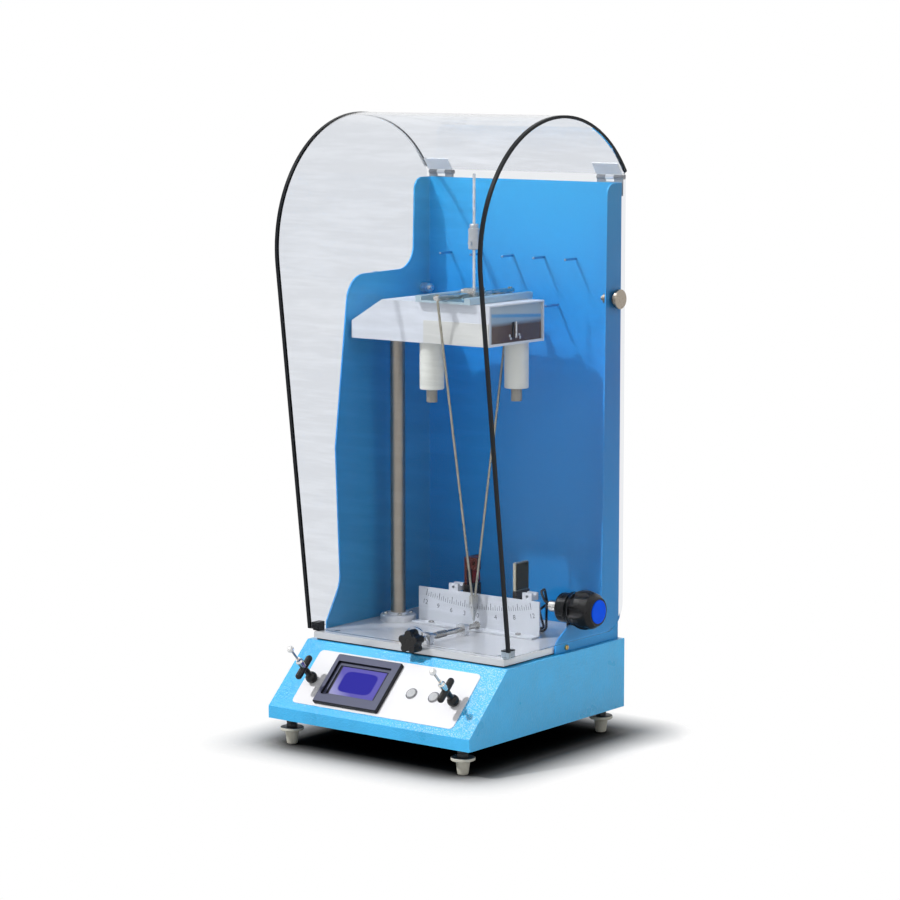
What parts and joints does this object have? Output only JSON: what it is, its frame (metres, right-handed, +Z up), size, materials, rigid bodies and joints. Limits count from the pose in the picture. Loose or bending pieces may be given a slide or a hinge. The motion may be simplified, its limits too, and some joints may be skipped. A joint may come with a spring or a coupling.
{
  "type": "pendulum hardness tester",
  "caption": "Bench pendulum hardness tester: V-shaped pendulum on a levelled head, clear hinged hood, arc scale, blue base.",
  "frame": {"origin": "on the bench, below the middle of the base housing, in the plane of the four foot undersides", "axes": "+X to the right, towards the side handle; +Y to the back; +Z up"},
  "size_m": [0.3499, 0.3344, 0.763],
  "materials": {
    "blue_paint": "satin",
    "deep_blue_paint": "satin",
    "white_paint": "satin",
    "white_panel": "matt",
    "machined_aluminium": "satin",
    "steel": "bright",
    "brass": "bright",
    "black_plastic": "satin",
    "grey_plastic": "matt",
    "white_plastic": "satin",
    "blue_plastic": "gloss",
    "black_rubber": "matt",
    "display": "gloss",
    "circuit_board": "satin",
    "dark_core": "matt",
    "clear": "clear",
    "smoked": "gloss",
    "panel_glass": "clear",
    "dark_gloss": "gloss"
  },
  "bodies": {
    "base": {"base_housing": "blue_paint", "bottom_plate": "blue_paint", "deck_gasket": "black_rubber", "deck_plate": "machined_aluminium", "steel_screws": "steel", "control_overlay": "white_panel", "display_bezel": "grey_plastic", "display_screen": "display", "control_board": "circuit_board", "power_supply": "dark_core", "power_inlet": "black_plastic", "back_shield": "deep_blue_paint", "shield_screws": "brass", "storage_pegs": "steel", "spacer_studs": "steel", "side_windows": "clear", "column": "steel", "column_flange": "machined_aluminium", "head_housing": "white_paint", "head_floor": "white_paint", "head_side_plate": "white_paint", "head_end_pane": "smoked", "guide_cylinders": "white_plastic", "panel_table": "machined_aluminium", "test_panel": "panel_glass", "lift_springs": "steel", "shaft_bearings": "machined_aluminium", "gate_posts": "machined_aluminium", "gate_windows": "dark_gloss", "handle_bearing": "black_plastic", "handle_cables": "black_rubber", "rear_hinge_leaves": "steel", "release_grips": "black_plastic", "release_barrels": "steel", "gate_bases": "black_plastic", "cable_gland": "steel"},
    "hood": {"hood_sheet": "clear", "hood_trims": "black_plastic", "hood_hinge_leaves": "steel"},
    "handle": {"handle_grip": "black_plastic", "handle_cap": "blue_plastic", "handle_spindle": "steel"},
    "stirrup": {"stirrup_frame": "machined_aluminium", "lift_rods": "steel"},
    "fulcrum": {"fulcrum_balls": "steel"},
    "pendulum": {"cross_beam": "machined_aluminium", "pendulum_rods": "steel", "upper_rod": "steel"},
    "weight": {"counterweight": "steel"},
    "scale": {"scale_plate": "white_paint"},
    "star": {"star_knob": "black_plastic", "star_shaft": "steel"},
    "plunger_l": {"plunger_left": "steel"},
    "plunger_r": {"plunger_right": "steel"},
    "button_l": {"button_left": "grey_plastic"},
    "button_r": {"button_right": "grey_plastic"},
    "foot_fl": {"foot_front_left": "white_plastic"},
    "foot_fr": {"foot_front_right": "white_plastic"},
    "foot_rl": {"foot_rear_left": "white_plastic"},
    "foot_rr": {"foot_rear_right": "white_plastic"}
  },
  "joints": [
    {"name": "hood_open", "type": "hinge", "parent": "base", "child": "hood", "pos_m": [0, 0.15536, 0.68548], "axis": [-1, 0, 0], "range_deg": [0, 75]},
    {"name": "handle_turn", "type": "hinge", "parent": "base", "child": "handle", "pos_m": [0.136, 0.05, 0.171], "axis": [1, 0, 0], "range_deg": [0, 90]},
    {"name": "stirrup_lift", "type": "slide", "parent": "base", "child": "stirrup", "axis": [0, 0, 1], "range_m": [0, 0.004], "deforming": ["lift_springs"]},
    {"name": "fulcrum_lift", "type": "slide", "parent": "base", "child": "fulcrum", "axis": [0, 0, 1], "range_m": [0, 0.0027]},
    {"name": "pendulum_swing", "type": "hinge", "parent": "fulcrum", "child": "pendulum", "pos_m": [0.007, 0.0437, 0.54025], "axis": [0, 1, 0], "range_deg": [-12, 12]},
    {"name": "counterweight_shift", "type": "slide", "parent": "pendulum", "child": "weight", "axis": [0, 0, 1], "range_m": [-0.04, 0.055]},
    {"name": "star_turn", "type": "hinge", "parent": "base", "child": "star", "pos_m": [0.015, -0.09, 0.1359], "axis": [0, 1, 0], "range_deg": [-37, 47]},
    {"name": "scale_shift", "type": "slide", "parent": "base", "child": "scale", "axis": [1, 0, 0], "range_m": [-0.0036, 0.0028]},
    {"name": "plunger_left_press", "type": "slide", "parent": "base", "child": "plunger_l", "axis": [0, 0.6899, -0.7239], "range_m": [0, 0.012], "stiffness_N_per_m": 250, "springref_m": -0.004},
    {"name": "plunger_right_press", "type": "slide", "parent": "base", "child": "plunger_r", "axis": [0, 0.6899, -0.7239], "range_m": [0, 0.012], "stiffness_N_per_m": 250, "springref_m": -0.004},
    {"name": "button_left_press", "type": "slide", "parent": "base", "child": "button_l", "axis": [0, 0.6899, -0.7239], "range_m": [0, 0.0015], "stiffness_N_per_m": 600, "springref_m": -0.001},
    {"name": "button_right_press", "type": "slide", "parent": "base", "child": "button_r", "axis": [0, 0.6899, -0.7239], "range_m": [0, 0.0015], "stiffness_N_per_m": 600, "springref_m": -0.001},
    {"name": "foot_front_left_turn", "type": "hinge", "parent": "base", "child": "foot_fl", "pos_m": [-0.131, -0.141, 0.016], "axis": [0, 0, 1], "continuous": true},
    {"name": "foot_front_right_turn", "type": "hinge", "parent": "base", "child": "foot_fr", "pos_m": [0.131, -0.141, 0.016], "axis": [0, 0, 1], "continuous": true},
    {"name": "foot_rear_left_turn", "type": "hinge", "parent": "base", "child": "foot_rl", "pos_m": [-0.131, 0.141, 0.016], "axis": [0, 0, 1], "continuous": true},
    {"name": "foot_rear_right_turn", "type": "hinge", "parent": "base", "child": "foot_rr", "pos_m": [0.131, 0.141, 0.016], "axis": [0, 0, 1], "continuous": true}
  ],
  "couplings": [
    {"joint": "handle_turn", "follows": "stirrup_lift", "rad_per_m": 392.6},
    {"joint": "fulcrum_lift", "follows": "stirrup_lift", "ratio": 0.6745},
    {"joint": "star_turn", "follows": "scale_shift", "rad_per_m": -227.27}
  ]
}
